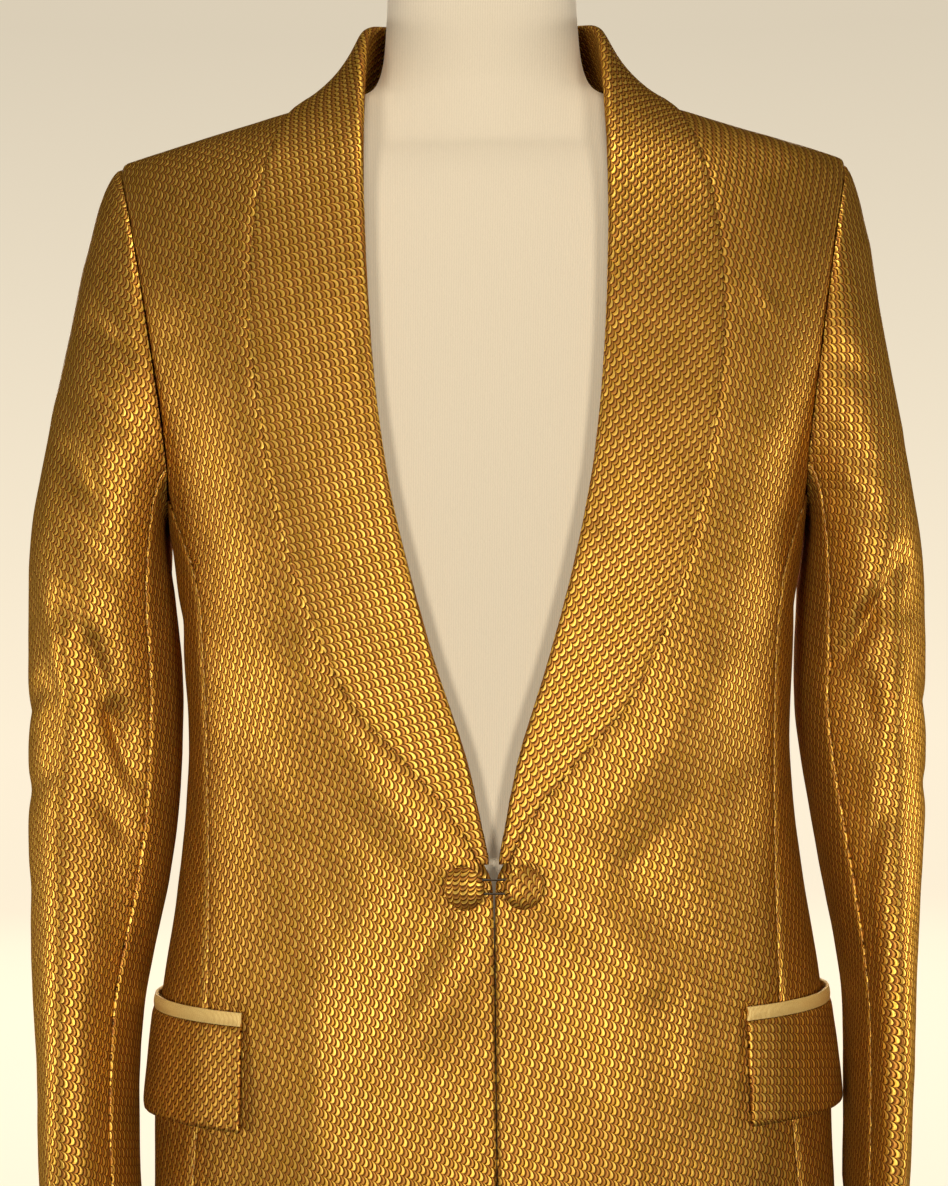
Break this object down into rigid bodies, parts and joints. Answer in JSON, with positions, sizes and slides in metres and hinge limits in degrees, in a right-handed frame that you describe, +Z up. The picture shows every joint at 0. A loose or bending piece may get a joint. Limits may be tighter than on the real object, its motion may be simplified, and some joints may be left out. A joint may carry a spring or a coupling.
{
  "type": "shawl collar evening coat on a limbless dress form",
  "caption": "Gold scale-jacquard evening coat with a shawl collar and a link front, on a limbless dress form.",
  "frame": {"origin": "middle of the part's box at the form's flat base", "axes": "+Z up, the coat faces -Y, +X is on the right of someone who looks at its front"},
  "size_m": [0.558, 0.277, 0.872],
  "materials": {
    "scale_jacquard": "satin, lustrous gold jacquard",
    "jacquard_trim": "satin, lustrous gold jacquard",
    "link_thread": "matte corded thread",
    "form_jersey": "matte jersey"
  },
  "bodies": {
    "root": {"dress_form": "form_jersey", "button_link": "link_thread", "front_left": "scale_jacquard", "front_right": "scale_jacquard", "side_left": "scale_jacquard", "side_right": "scale_jacquard", "back_left": "scale_jacquard", "back_right": "scale_jacquard", "top_sleeve_left": "scale_jacquard", "top_sleeve_right": "scale_jacquard", "under_sleeve_left": "scale_jacquard", "under_sleeve_right": "scale_jacquard", "shawl_left": "scale_jacquard", "shawl_right": "scale_jacquard", "flap_left": "scale_jacquard", "flap_right": "scale_jacquard", "jet_left": "jacquard_trim", "jet_right": "jacquard_trim", "button_left": "jacquard_trim", "button_right": "jacquard_trim"}
  },
  "joints": []
}
